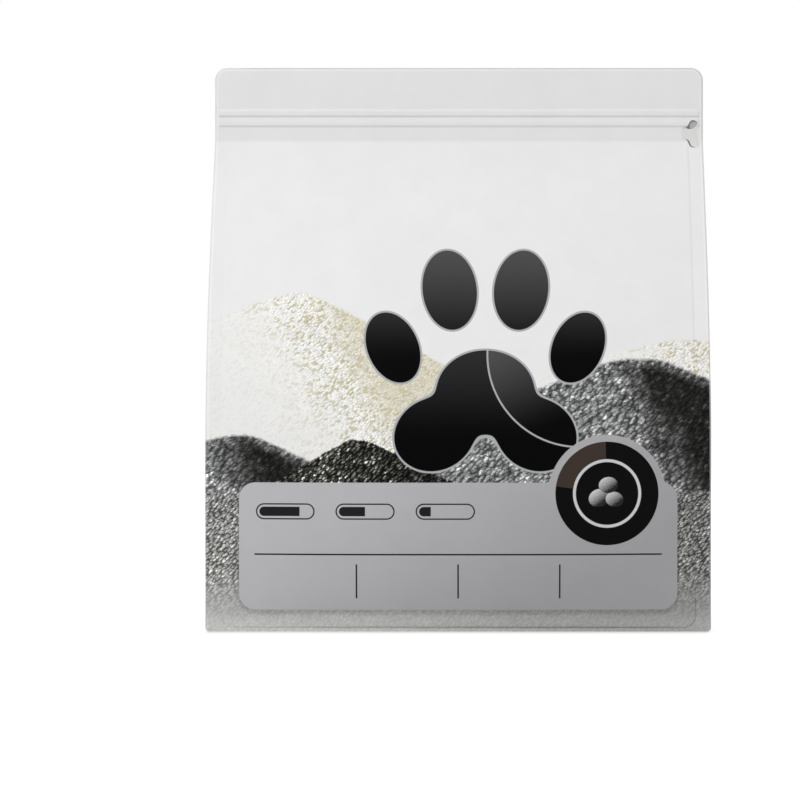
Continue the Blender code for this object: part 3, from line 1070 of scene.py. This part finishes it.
@dataclass
class Panel:
    """The front or back film, with its rim of seals."""

    name: str
    form: PouchForm
    finish: FilmFinish
    facing: int = -1
    zipped: bool = True
    film: float = 0.00028
    seed: float = 0.0
    slackness: float = 1.0
    waves: tuple[Wrinkle, ...] = (
        Wrinkle(0.00042, 0.060, 0.075),
        Wrinkle(0.00005, 0.0052, 0.0052, 5.0),
        Wrinkle(0.00009, 0.015, 0.019, 9.0),
    )
    top_pucker: Wrinkle = Wrinkle(0.00022, 0.010, 0.060, 20.0, 0.020)
    side_pucker: Wrinkle = Wrinkle(0.00026, 0.050, 0.011, 30.0, 0.009)
    foot_pucker: Wrinkle = Wrinkle(0.00024, 0.012, 0.050, 40.0, 0.012)
    calm_top: float = 0.006
    calm_foot: float = 0.012
    calm_rim: float = 2.2
    seal_wave: float = 0.0007
    seal_wave_pitch: float = 0.045
    flange_wave: float = 0.0003
    flange_wave_pitch: float = 0.011
    strip_edge: tuple[float, float] = (-0.0002, 0.0003)
    flange_edge: tuple[float, float] = (-0.0012, 0.0001)
    zip_end: tuple[float, float] = (-0.0003, 0.0005)
    ridge_gap: float = 0.0002
    pitch: float = 0.0021
    seal_step: float = 0.00016
    seal_step_width: float = 0.0006
    rim_width: float = 0.0010
    rim_drop: float = 0.00042
    zip_margin: float = 0.0020
    zip_lower: float = 0.00745
    zip_pitch: float = 0.0053
    zip_flange: float = 0.0038
    flange_lift: float = 0.00052
    ridge: float = 0.00052
    ridge_run: float = 0.0021
    strip_lift: float = 0.00008
    fall: float = 0.0010
    lip: float = 0.00026
    lobes: tuple[tuple[float, float, float], ...] = ()
    lip_width: float = 0.00045

    def columns(self) -> list[float]:
        """Grid lines across the panel, closer at the seals."""
        root = self.form.seal_root
        half = self.form.half_width
        right = spaced(
            (0.0, self.pitch),
            (root - 0.0070, 0.0005),
            (root - 0.0008, 0.0002),
            (root + 0.0008, 0.0004),
            (half - self.rim_width, 0.00022),
            (half, 0.0),
        )
        return mirrored(right)

    def rows(self) -> list[float]:
        """Grid lines up the panel, closer at the foot, the zipper and the top."""
        base, top = self.form.strip_base, self.form.height
        seal = self.form.bottom_seal
        zipper = base + self.zip_lower
        return spaced(
            (0.0, 0.0005),
            (seal - 0.0008, 0.0002),
            (seal + 0.0008, 0.0005),
            (seal + 0.0070, self.pitch),
            (base - 0.0080, 0.0010),
            (base - 0.0012, 0.0003),
            (base + 0.0009, 0.0004),
            (zipper - 0.0008, 0.0002),
            (zipper + 0.0008, 0.0004),
            (zipper + self.zip_pitch - 0.0008, 0.0002),
            (zipper + self.zip_pitch + 0.0008, 0.0004),
            (zipper + self.zip_pitch + self.zip_flange + 0.0009, 0.0016),
            (top - self.form.top_corner, 0.0006),
            (top - self.rim_width, 0.00018),
            (top, 0.0),
        )

    def inside(self, x: float, z: float) -> float:
        """How far the filling pushes the film out at a place, from 0 at the seals to 1."""
        share = abs(x) / self.form.inner_half_width(z)
        return max(0.0, 1 - share**self.form.panel_squareness)

    def unevenness(self, x: float, z: float, inside: float) -> float:
        """Small dents and puckers that the film of a filled pouch has."""
        if inside <= 0.0:
            return 0.0
        form, seed = self.form, self.seed
        above, below = z - form.bottom_seal, form.strip_base - z
        eased = min(1.0, inside * self.calm_rim) * smooth_step(below, 0.0, self.calm_top)
        eased *= smooth_step(above, 0.0, self.calm_foot)
        dents = sum(wave.lift(x, z, seed) for wave in self.waves)
        dents += self.top_pucker.lift(x, z, seed, below)
        dents += self.side_pucker.lift(x, z, seed, form.seal_root - abs(x))
        dents += self.foot_pucker.lift(x, z, seed, above)
        return eased * self.slackness * dents

    def flutter(self, x: float, z: float) -> float:
        """How far a side seal waves in or out."""
        out = max(0.0, abs(x) - self.form.seal_root) / self.form.seal_width
        side = 1.0 if x > 0 else 2.0
        wave = noise.noise(Vector((side * 7.0, z / self.seal_wave_pitch, self.seed + 50)))
        return self.seal_wave * wave * out * self.form.fullness(z) ** 0.5

    def body_depth(self, x: float, z: float) -> float:
        """Distance of the film from the middle plane, before what is pressed into it."""
        inside = self.inside(x, z)
        depth = self.form.seal_face(z) + self.flutter(x, z)
        depth += self.form.panel_swell * self.form.swell_share(z) * inside
        return depth + self.unevenness(x, z, inside)

    def zip_relief(self, x: float, z: float) -> float:
        """How far the zipper and the tear strip stand out of the header."""
        base = self.form.strip_base
        lower = base + self.zip_lower
        upper = lower + self.zip_pitch
        top = upper + self.zip_flange
        half = self.fall / 2
        strip = self.strip_lift * smooth_step(z - base, *self.strip_edge)
        ridge = self.ridge * smooth_step(z, lower - half, lower + half)
        end = upper - half + self.ridge_gap
        ridge *= 1 - smooth_step(z, end - self.ridge_run, end)
        flange = self.flange_lift * smooth_step(z, upper - half, upper + half)
        wave = noise.noise(Vector((x / self.flange_wave_pitch, 0.0, self.seed + 3)))
        wave *= self.flange_wave
        flange *= 1 - smooth_step(z - top - wave, *self.flange_edge)
        inner = strip * (1 - smooth_step(z, lower - half, lower + half))
        lift = inner + ridge + flange
        ends = self.form.half_width - self.zip_margin - abs(x)
        return lift * smooth_step(ends, *self.zip_end)

    def hole_lip(self, x: float, z: float) -> float:
        """How far the film stands up round the die-cut lobes of the tab's hole."""
        near = 1.0
        for across, up, radius in self.lobes:
            near = min(near, abs(math.hypot(x - across, z - up) - radius))
        return self.lip * bell(near, self.lip_width)

    def depth(self, x: float, z: float) -> float:
        """Distance of the film's outer face from the middle plane."""
        depth = self.body_depth(x, z)
        edge = self.form.edge_distance(x, z)
        depth -= self.rim_drop * (1 - smooth_step(edge, 0.0, self.rim_width))
        out = smooth_step(self.form.seal_line_distance(x, z), -self.seal_step_width, 0.0)
        depth -= self.seal_step * out * smooth_step(self.form.header_base - z, -0.004, 0.002)
        if self.zipped:
            depth += self.zip_relief(x, z) + self.hole_lip(x, z)
        return depth

    def place(self, column: float, z: float) -> float:
        """Where across the panel a grid line lies at height z."""
        return column * self.form.panel_half_width(z) / self.form.half_width

    def outer(self, column: float, z: float) -> Vector:
        """A point of the film's outer face."""
        x = self.place(column, z)
        return Vector((x, self.facing * self.depth(x, z), z))

    def inner(self, column: float, z: float) -> Vector:
        """A point of the film's inner face; the header's films meet in the middle."""
        x = self.place(column, z)
        base = self.form.strip_base
        sealed = smooth_step(z, base - 0.001, base + 0.001)
        depth = (self.body_depth(x, z) - self.film) * (1 - sealed) + 0.00002 * sealed
        return Vector((x, self.facing * depth, z))

    def build(self) -> Piece:
        """Makes the panel and gives it its finish."""
        piece = film_sheet(self.name, self.columns(), self.rows(), self.outer, self.inner)
        piece.data.materials.append(self.finish.material())
        return piece


@dataclass
class Gusset:
    """A side film, folded in along its middle and sealed to both panels."""

    side: Side
    form: PouchForm
    front: Panel
    back: Panel
    finish: FilmFinish
    film: float = 0.00028
    top_margin: float = 0.0012
    foot: float = 0.0003
    pitch: float = 0.0020
    fold_from: tuple[float, float] = (0.055, 0.120)
    fold_to: tuple[float, float] = (0.205, 0.250)
    ridge_depth: float = 0.0050
    fold_depth: float = 0.0034
    lump_height: float = 0.00010
    ridges: tuple[float, float, float] = (1.3, 0.055, 0.060)
    folds: tuple[float, float, float] = (2.2, -0.028, 0.090)
    crease_depth: float = 0.0006
    crease_width: float = 0.0012

    def columns(self) -> list[float]:
        """Grid lines round the gusset: 0 to 1 and 3 to 4 on the seals, 2 at the crease."""
        return spaced(
            (0.0, 0.25),
            (1.0, 0.04),
            (1.16, 0.06),
            (1.82, 0.02),
            (2.18, 0.06),
            (2.84, 0.04),
            (3.0, 0.25),
            (4.0, 0.0),
        )

    def rows(self) -> list[float]:
        """Grid lines up the gusset."""
        return spaced((self.foot, 0.0010), (0.012, self.pitch), (self.top, 0.0))

    @property
    def top(self) -> float:
        """Height of the gusset's upper edge."""
        return self.form.strip_base - self.top_margin

    def slanted(
        self, share: float, z: float, look: tuple[float, float, float], seed: float
    ) -> float:
        """Random waves that run aslant over one half of the gusset.

        Args:
            share: How far the place lies from the seal to the crease.
            z: The place's height.
            look: How many waves there are across, and their length aslant and up.
            seed: Which waves they are.

        Returns:
            The wave's height from its middle, without its sign.
        """
        across, aslant, up = look
        return abs(noise.noise(Vector((share * across + z / aslant, z / up, seed))))

    def buckle(self, share: float, z: float, half: int) -> float:
        """Dents where the side goes from open to folded."""
        zone = smooth_step(z, *self.fold_from) * (1 - smooth_step(z, *self.fold_to))
        seed = 11.0 * self.side.value + 3.0 * half
        ridge = self.slanted(share, z, self.ridges, seed)
        fold = self.slanted(share, z, self.folds, seed + 6)
        light = noise.noise(Vector((share * 6.0, z / 0.010, seed + 12)))
        lumps = self.lump_height * light * smooth_step(z, 0.006, 0.020)
        folds = zone * (self.ridge_depth * (0.25 - ridge) + self.fold_depth * (0.2 - fold))
        return math.sin(math.pi * share) * (folds + lumps)

    def outer(self, column: float, z: float) -> Vector:
        """A point of the gusset's outer face."""
        side, form = self.side.value, self.form
        inner = form.seal_face(z) - form.seal_thickness
        half = form.panel_half_width(z)
        front = column <= 2.0
        along = column if front else 4.0 - column
        facing = -1 if front else 1
        if along <= 1.0:
            x = half + (form.seal_root - half) * along
            panel = self.front if front else self.back
            y = inner + panel.flutter(side * x, z)
        else:
            share = along - 1.0
            y = inner * (1 - share)
            x = form.seal_root - form.tuck(z) * share
            x += form.gusset_swell * form.swell_share(z) * math.sin(math.pi * share)
            pressed = bell(y, self.crease_width) * smooth_step(z, 0.006, 0.03)
            x -= self.crease_depth * pressed
            x += self.buckle(share, z, facing)
        return Vector((side * x, facing * y, z))

    def inner(self, column: float, z: float) -> Vector:
        """The point a film's thickness behind the outer face."""
        step, rise = 0.01, 0.0005
        low, high = max(0.0, column - step), min(4.0, column + step)
        across = self.outer(high, z) - self.outer(low, z)
        above, below = min(self.top, z + rise), max(self.foot, z - rise)
        up = self.outer(column, above) - self.outer(column, below)
        normal = across.cross(up).normalized() * self.side.value
        point = self.outer(column, z) - normal * self.film
        point.z = z
        return point

    def build(self) -> Piece:
        """Makes the gusset and gives it its finish."""
        name = f"gusset_{self.side.name.lower()}"
        piece = film_sheet(name, self.columns(), self.rows(), self.outer, self.inner)
        piece.data.materials.append(self.finish.material())
        return piece


@dataclass
class BottomPanel:
    """The bottom film, sagging to the floor inside the skirt of seals."""

    form: PouchForm
    finish: FilmFinish
    film: float = 0.00028
    gap: float = 0.00040
    margin: float = 0.0095
    roundness: float = 1.5
    crease: float = 0.0005
    crease_width: float = 0.0012
    ripple: float = 0.00035
    ripple_pitch: float = 0.013

    def lines(self, half: float) -> list[float]:
        """Grid lines over one side of the bottom, closer at its rim."""
        rim = half - self.margin
        return mirrored(spaced((0.0, 0.0006), (0.0030, 0.0026), (rim, 0.0007), (half, 0.0)))

    def half_sizes(self) -> tuple[float, float]:
        """Half the bottom's width and depth."""
        return self.form.seal_root - self.gap, self.form.gusset_depth / 2 + 0.0002

    def outer(self, x: float, y: float) -> Vector:
        """A point of the bottom's lower face."""
        wide, deep = self.half_sizes()
        inset = min(wide - abs(x), deep - abs(y))
        share = min(1.0, inset / self.margin)
        z = self.form.bottom_seal * (1 - share) ** self.roundness
        ripple = noise.noise(Vector((x / self.ripple_pitch, y / self.ripple_pitch, 70.0)))
        z += self.ripple * abs(ripple) * math.sin(math.pi * share)
        z += self.crease * bell(y, self.crease_width) * share
        return Vector((x, y, z))

    def inner(self, x: float, y: float) -> Vector:
        """A point of the bottom's upper face."""
        return self.outer(x, y) + Vector((0.0, 0.0, self.film))

    def build(self) -> Piece:
        """Makes the bottom panel and gives it its finish."""
        columns, rows = map(self.lines, self.half_sizes())
        piece = film_sheet("bottom_panel", columns, rows, self.outer, self.inner)
        piece.data.materials.append(self.finish.material())
        return piece


@dataclass(frozen=True)
class TabOutline:
    """A die-cut outline: two round lobes above each other, a waist and a stem to the left."""

    axis: float
    middle: float
    lobe_offset: float
    waist_shift: float
    waist_radius: float
    stem_length: float
    fillet: float
    lobe_radius: float = 0.0023
    stem_rise: float = 0.0005
    stem_half: float = 0.00275
    stem_corner: float = 0.0004
    segments: int = 40

    def lobes(self) -> tuple[tuple[float, float, float], ...]:
        """Each lobe's place across and up, and its radius."""
        return tuple(
            (self.axis, self.middle + way * self.lobe_offset, self.lobe_radius) for way in (1, -1)
        )

    def lobe(self, name: str, grow: float, near: float, far: float, way: int) -> Piece:
        """One lobe and its taper to the waist, as a prism between two depths.

        Args:
            name: The prism's name.
            grow: How much wider it is all round.
            near, far: The depths between which it lies.
            way: 1 for the upper lobe, -1 for the lower one.

        Returns:
            The prism, about the outline's own middle.
        """
        mesh = bmesh.new()
        for depth in (near, far):
            for x, z, radius in (
                (0.0, way * self.lobe_offset, self.lobe_radius),
                (-self.waist_shift, 0.0, self.waist_radius),
            ):
                turned = Matrix.Translation((x, -depth, z)) @ Matrix.Rotation(math.pi / 2, 4, "X")
                bmesh.ops.create_circle(
                    mesh, segments=self.segments, radius=radius + grow, matrix=turned
                )
        hull = bmesh.ops.convex_hull(mesh, input=mesh.verts[:])
        loose = set(hull["geom_interior"] + hull["geom_unused"])
        spare = [item for item in loose if isinstance(item, bmesh.types.BMVert)]
        bmesh.ops.delete(mesh, geom=spare, context="VERTS")
        bmesh.ops.dissolve_limit(mesh, angle_limit=0.001, verts=mesh.verts[:], edges=mesh.edges[:])
        bmesh.ops.recalc_face_normals(mesh, faces=mesh.faces)
        return link(name, mesh)

    def stem(self, name: str, grow: float, near: float, far: float) -> Piece:
        """The stem, from the waist to the left, as a prism between two depths."""
        mesh = bmesh.new()
        wide = self.stem_length - self.waist_shift + grow
        middle = Vector((-self.waist_shift - wide / 2, -(near + far) / 2, self.stem_rise))
        size = Matrix.Diagonal((wide, abs(near - far), 2 * (self.stem_half + grow), 1.0))
        bmesh.ops.create_cube(mesh, size=1.0, matrix=Matrix.Translation(middle) @ size)
        self.round_edges(mesh, lambda edge: edge.verts[0].co.x < middle.x, self.stem_corner)
        return link(name, mesh)

    def round_edges(
        self, mesh: bmesh.types.BMesh, chosen: Callable[[bmesh.types.BMEdge], bool], radius: float
    ) -> None:
        """Rounds the chosen edges that run from the front of a prism to its back."""
        edges = [
            edge
            for edge in mesh.edges
            if abs(edge.verts[0].co.y - edge.verts[1].co.y) > 1e-6 and chosen(edge)
        ]
        bmesh.ops.bevel(
            mesh, geom=edges, offset=radius, affect="EDGES", segments=5, profile=0.5, material=-1
        )

    def prism(self, name: str, grow: float, near: float, far: float) -> Piece:
        """The whole outline as a prism, its inner corners rounded.

        Args:
            name: The prism's name.
            grow: How much wider it is all round.
            near, far: The depths between which it lies.

        Returns:
            The prism, about the outline's own middle.
        """
        piece = self.stem(name, grow, near, far)
        for way in (1, -1):
            combine(piece, self.lobe(f"{name}_lobe", grow, near, far, way), "UNION")
        mesh = opened(piece)
        self.round_edges(
            mesh, lambda edge: not edge.is_convex and edge.calc_face_angle(0.0) > 0.5, self.fillet
        )
        closed(mesh, piece)
        return piece

    def put(self, piece: Piece, turn: float = 0.0) -> None:
        """Moves a prism's mesh to the outline's place, turned by some degrees."""
        place = Matrix.Translation((self.axis, 0.0, self.middle))
        piece.data.transform(place @ Matrix.Rotation(math.radians(turn), 4, "Y"))


HOLE = TabOutline(0.1248, 0.26078, 0.0049, 0.0024, 0.0020, 0.0056, 0.0018, 0.0024)


@dataclass(frozen=True)
class HoleFilm(FilmFinish):
    """The inner film behind the tab's hole, with painted shade from the hole's upper left rim."""

    outline: TabOutline = HOLE
    shift: float = 0.0005
    shade: float = 0.5

    def print_colour(self, g: Graph, x: Value, y: Value, z: Value) -> Value:
        """The film's colour with painted shade, darker towards the upper left of the upper lobe."""
        across, up, radius = self.outline.lobes()[0]
        # Painted shade: a darker rim at the upper left of the upper lobe, where the hole's edge
        # shades the film.
        out = g.length(g.sub(x, across + self.shift), g.sub(z, up - self.shift))
        dark = g.rise(out, radius - self.shift, radius + self.shift, 0.0, self.shade)
        return g.shadowed(self.colour, dark)


@dataclass
class PullTab:
    """The die-cut tab: its hole in the front film, what shows through, and the tongue."""

    panel: Panel
    hole: TabOutline
    tab: TabOutline
    finish: FilmFinish
    liner_finish: FilmFinish
    turn: float = -3.5
    bite: tuple[float, float] = (-0.0018, 0.0066)
    bite_radius: float = 0.0040
    thickness: float = 0.00026
    proud: float = 0.00034
    sunk: float = 0.00030
    play: float = 0.00003
    reach: tuple[float, float] = (0.006, -0.001)
    slices: int = 40
    past: float = 0.001

    def drape(self, piece: Piece, lift: float) -> None:
        """Bends a flat prism to the film's curve, its middle lifted off it."""
        mesh = opened(piece)
        low, high = TAB_BOX[0].z - self.past, TAB_BOX[1].z + self.past
        for step in range(1, self.slices):
            height = low + (high - low) * step / self.slices
            bmesh.ops.bisect_plane(
                mesh,
                geom=mesh.verts[:] + mesh.edges[:] + mesh.faces[:],
                plane_co=(0.0, 0.0, height),
                plane_no=(0.0, 0.0, 1.0),
            )
        for vert in mesh.verts:
            vert.co.y -= self.panel.body_depth(self.hole.axis, vert.co.z) + lift
        closed(mesh, piece)

    def dress(self, piece: Piece, finish: FilmFinish) -> Piece:
        """Gives a piece its finish."""
        shade(piece)
        piece.data.materials.clear()
        piece.data.materials.append(finish.material())
        return piece

    def cut_hole(self, face: Piece) -> None:
        """Cuts the tab's hole through the front film."""
        hole = self.hole.prism("tab_hole", 0.0, *self.reach)
        self.hole.put(hole)
        combine(face, hole, "DIFFERENCE")

    def liner(self) -> Piece:
        """The inner film that shows through the hole."""
        half = self.thickness / 4
        piece = self.hole.prism("tab_hole_liner", -self.play, half, -half)
        self.hole.put(piece)
        self.drape(piece, -self.sunk - half)
        return self.dress(piece, self.liner_finish)

    def tongue(self) -> Piece:
        """The tab itself, pushed out to the right, its upper lobe tucked away."""
        half = self.thickness / 2
        piece = self.tab.prism("pull_tab", 0.0, half, -half)
        mesh = bmesh.new()
        place = Matrix.Translation((self.bite[0], 0.0, self.bite[1]))
        bmesh.ops.create_cone(
            mesh,
            cap_ends=True,
            segments=96,
            radius1=self.bite_radius,
            radius2=self.bite_radius,
            depth=4 * self.thickness,
            matrix=place @ Matrix.Rotation(math.pi / 2, 4, "X"),
        )
        combine(piece, link("pull_tab_bite", mesh), "DIFFERENCE")
        self.tab.put(piece, self.turn)
        self.drape(piece, self.proud - half)
        return self.dress(piece, self.finish)


@dataclass
class Pouch:
    """The whole pouch: films, hole and tab."""

    form: PouchForm = field(default_factory=PouchForm)
    hole: TabOutline = HOLE
    tab: TabOutline = TabOutline(0.12519, 0.26088, 0.0049, 0.0015, 0.0024, 0.00655, 0.0021)

    def build(self) -> list[Piece]:
        """Makes every piece, in order.

        Returns:
            The pieces, each riding on the root body.
        """
        plain = PlainFilm("plain_film")
        printed = PrintedFilm("printed_film")
        front = Panel("front_panel", self.form, printed, lobes=self.hole.lobes())
        back = Panel(
            "back_panel",
            self.form,
            BackFilm("back_film"),
            facing=1,
            zipped=False,
            seed=100.0,
            slackness=2.2,
        )
        tab = PullTab(
            front,
            self.hole,
            self.tab,
            FilmFinish("tab_film", colour=srgb(222, 223, 221)),
            # The inner film's grey is partly its own colour and partly painted shade of the hole's
            # depth.
            HoleFilm("inner_film_and_shade", colour=srgb(182, 182, 181), outline=self.hole),
        )
        face = front.build()
        tab.cut_hole(face)
        pieces = [face, back.build()]
        for side in Side:
            pieces.append(Gusset(side, self.form, front, back, plain).build())
        pieces += [BottomPanel(self.form, plain).build(), tab.liner()]
        for piece in pieces:
            self.settle(piece, "litter_pouch")
        tongue = tab.tongue()
        self.settle(tongue, "tear_tab")
        return pieces + [tongue]

    def settle(self, piece: Piece, node: str) -> None:
        """Puts a piece in the frame, in place of a node, and reports it."""
        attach(piece, "root")
        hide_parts(node)
        LOG.info("%s: %d faces", piece.name, len(piece.data.polygons))


@dataclass(frozen=True)
class Lamp:
    """A square soft light."""

    name: str
    place: tuple[float, float, float]
    size: float
    power: float

    def light(self, target: Vector) -> None:
        """Adds the light to the scene, aimed at a target."""
        data = bpy.data.lights.new(self.name, "AREA")
        data.size = self.size
        data.energy = self.power
        lamp = bpy.data.objects.new(self.name, data)
        lamp.location = self.place
        aim = target - Vector(self.place)
        lamp.rotation_euler = aim.to_track_quat("-Z", "Y").to_euler()
        bpy.context.scene.collection.objects.link(lamp)


@dataclass
class Studio:
    """The pale floor, the white surround, the soft lights and the camera."""

    floor_half: float = 40.0
    floor_colour: Colour = (0.76, 0.76, 0.76, 1.0)
    floor_glow: tuple[float, float] = (0.52, 0.67)
    glow_step: tuple[float, float] = (-0.045, -0.030)
    glow_reach: tuple[float, float] = (-1.10, -0.62)
    glow_sides: tuple[float, float] = (0.34, 0.60)
    # Painted contact shadow: a dip in the floor's glow along the pouch's front foot.
    contact_shadow: float = 0.34
    contact_shadow_step: tuple[float, float] = (-0.061, -0.045)
    contact_shadow_half: float = 0.131
    contact_shadow_edge: float = 0.004
    lamps: tuple[Lamp, ...] = (
        Lamp("key", (-1.1, -1.6, 1.5), 1.2, 24.7),
        Lamp("fill", (1.3, -1.7, 0.35), 1.2, 7.6),
        Lamp("back", (0.4, 1.4, 1.5), 1.4, 10.0),
    )
    target_height: float = 0.15
    ambient: float = 0.435
    white: Colour = (1.0, 1.0, 1.0, 1.0)
    camera_distance: float = 1.26
    camera_across: float = 0.0112
    camera_height: float = 0.1190
    pixels_per_metre: float = 1875.5
    image_pixels: float = 800.0
    axis_pixel: float = 480.0
    sensor: float = 36.0

    def floor(self) -> None:
        """The floor, white to the camera but for the pouch's shadow and a painted contact shadow
        along its foot.
        """
        mesh = bmesh.new()
        bmesh.ops.create_grid(mesh, x_segments=2, y_segments=2, size=self.floor_half)
        floor = link("floor", mesh)
        made = bpy.data.materials.new("floor_paper")
        made.use_nodes = True
        g = Graph(made.node_tree)
        matt = g.node("ShaderNodeBsdfDiffuse")
        matt.inputs["Color"].default_value = self.floor_colour
        glow = g.node("ShaderNodeEmission")
        x, y, _ = g.place()[1]
        across = g.math("ABSOLUTE", x)
        # Painted contact shadow: less glow in a strip along the pouch's front foot.
        near = g.stripe(x, self.contact_shadow_half - self.contact_shadow_edge, self.contact_shadow_half)
        near = g.mul(near, g.rise(y, *self.contact_shadow_step, 0.0, self.contact_shadow))
        low, high = self.floor_glow
        strength = g.rise(y, *self.glow_step, low, high)
        strength = g.math("MAXIMUM", strength, g.rise(y, *self.glow_reach, high, low))
        strength = g.math("MAXIMUM", strength, g.rise(across, *self.glow_sides, low, high))
        strength = g.sub(strength, near)
        g.feed(glow.inputs["Strength"], g.mul(g.seen(), strength))
        both = g.node("ShaderNodeAddShader")
        g.feed_all(both, {0: matt.outputs[0], 1: glow.outputs[0]})
        g.finish("ShaderNodeOutputMaterial", both.outputs[0])
        floor.data.materials.append(made)

    def surround(self) -> None:
        """White to the camera, and soft light for the pouch."""
        world = bpy.data.worlds.new("surround")
        world.use_nodes = True
        bpy.context.scene.world = world
        g = Graph(world.node_tree)
        sky = g.node("ShaderNodeBackground")
        sky.inputs["Color"].default_value = self.white
        g.feed(sky.inputs["Strength"], g.blend(g.seen(), self.ambient, 1.0))
        g.finish("ShaderNodeOutputWorld", sky.outputs[0])

    def camera(self) -> None:
        """The camera, level in front of the pouch as in the photograph."""
        data = bpy.data.cameras.new("camera")
        data.sensor_width = self.sensor
        focal_pixels = self.pixels_per_metre * self.camera_distance
        data.lens = focal_pixels / self.image_pixels * self.sensor
        data.shift_x = (self.image_pixels / 2 - self.axis_pixel) / self.image_pixels
        camera = bpy.data.objects.new("camera", data)
        camera.location = (self.camera_across, -self.camera_distance, self.camera_height)
        camera.rotation_euler = (math.pi / 2, 0.0, 0.0)
        bpy.context.scene.collection.objects.link(camera)
        bpy.context.scene.camera = camera

    def build(self) -> None:
        """Makes the whole studio."""
        self.floor()
        self.surround()
        for lamp in self.lamps:
            lamp.light(Vector((0.0, 0.0, self.target_height)))
        self.camera()
        bpy.context.scene.view_settings.view_transform = "Standard"


def main() -> None:
    """Builds the pouch and the studio round it."""
    logging.basicConfig(level=logging.INFO, format="%(name)s: %(message)s")
    Studio().build()
    pieces = Pouch().build()
    LOG.info("%d pieces", len(pieces))


if __name__ == "__main__":
    main()
